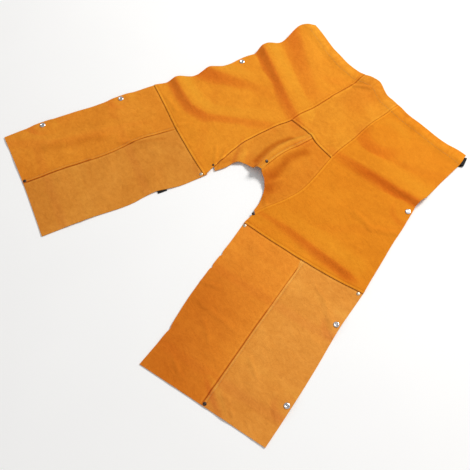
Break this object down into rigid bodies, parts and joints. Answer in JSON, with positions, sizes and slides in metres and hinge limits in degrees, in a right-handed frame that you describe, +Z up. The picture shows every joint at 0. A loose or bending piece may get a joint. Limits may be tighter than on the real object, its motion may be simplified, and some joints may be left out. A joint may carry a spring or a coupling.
{
  "type": "split-leg welding apron",
  "caption": "Split cowhide welding apron laid out flat, two open-backed legs under a waist casing, with a webbing belt, a pieced gusset and snap straps behind the legs.",
  "frame": {"origin": "on the surface the apron lies on, under the middle of its outline box", "axes": "+Z up out of the apron's front, +Y towards the waist, +X towards the wearer's left leg"},
  "size_m": [1.0761, 1.0268, 0.028],
  "materials": {
    "leather": "napped suede, golden orange",
    "webbing": "woven black webbing",
    "buckle": "satin",
    "snap_steel": "polished",
    "rivet_bright": "worn bright",
    "rivet_dark": "dark"
  },
  "bodies": {
    "root": {"buckle_plug": "buckle", "buckle_socket": "buckle", "centre_panel": "leather", "gusset_left": "leather", "gusset_right": "leather", "rivet_crotch": "rivet_dark", "rivet_gusset_left": "rivet_dark", "rivet_gusset_right": "rivet_dark", "rivet_hem_left": "rivet_dark", "rivet_hem_right": "rivet_dark", "rivet_knee_left": "rivet_bright", "rivet_knee_outer_left": "rivet_bright", "rivet_knee_right": "rivet_bright", "shin_inner_left": "leather", "shin_inner_right": "leather", "shin_outer_left": "leather", "shin_outer_right": "leather", "snap_cap_knee_left": "snap_steel", "snap_cap_knee_right": "snap_steel", "snap_cap_shin_left": "snap_steel", "snap_cap_shin_right": "snap_steel", "snap_cap_thigh_left": "snap_steel", "snap_cap_thigh_right": "snap_steel", "snap_socket_knee_left": "snap_steel", "snap_socket_knee_right": "snap_steel", "snap_socket_shin_left": "snap_steel", "snap_socket_shin_right": "snap_steel", "snap_socket_thigh_left": "snap_steel", "snap_socket_thigh_right": "snap_steel", "strap_knee_left": "webbing", "strap_knee_right": "webbing", "strap_shin_left": "webbing", "strap_shin_right": "webbing", "strap_thigh_left": "webbing", "strap_thigh_right": "webbing", "thigh_left": "leather", "thigh_right": "leather", "waist_belt": "webbing"}
  },
  "joints": []
}
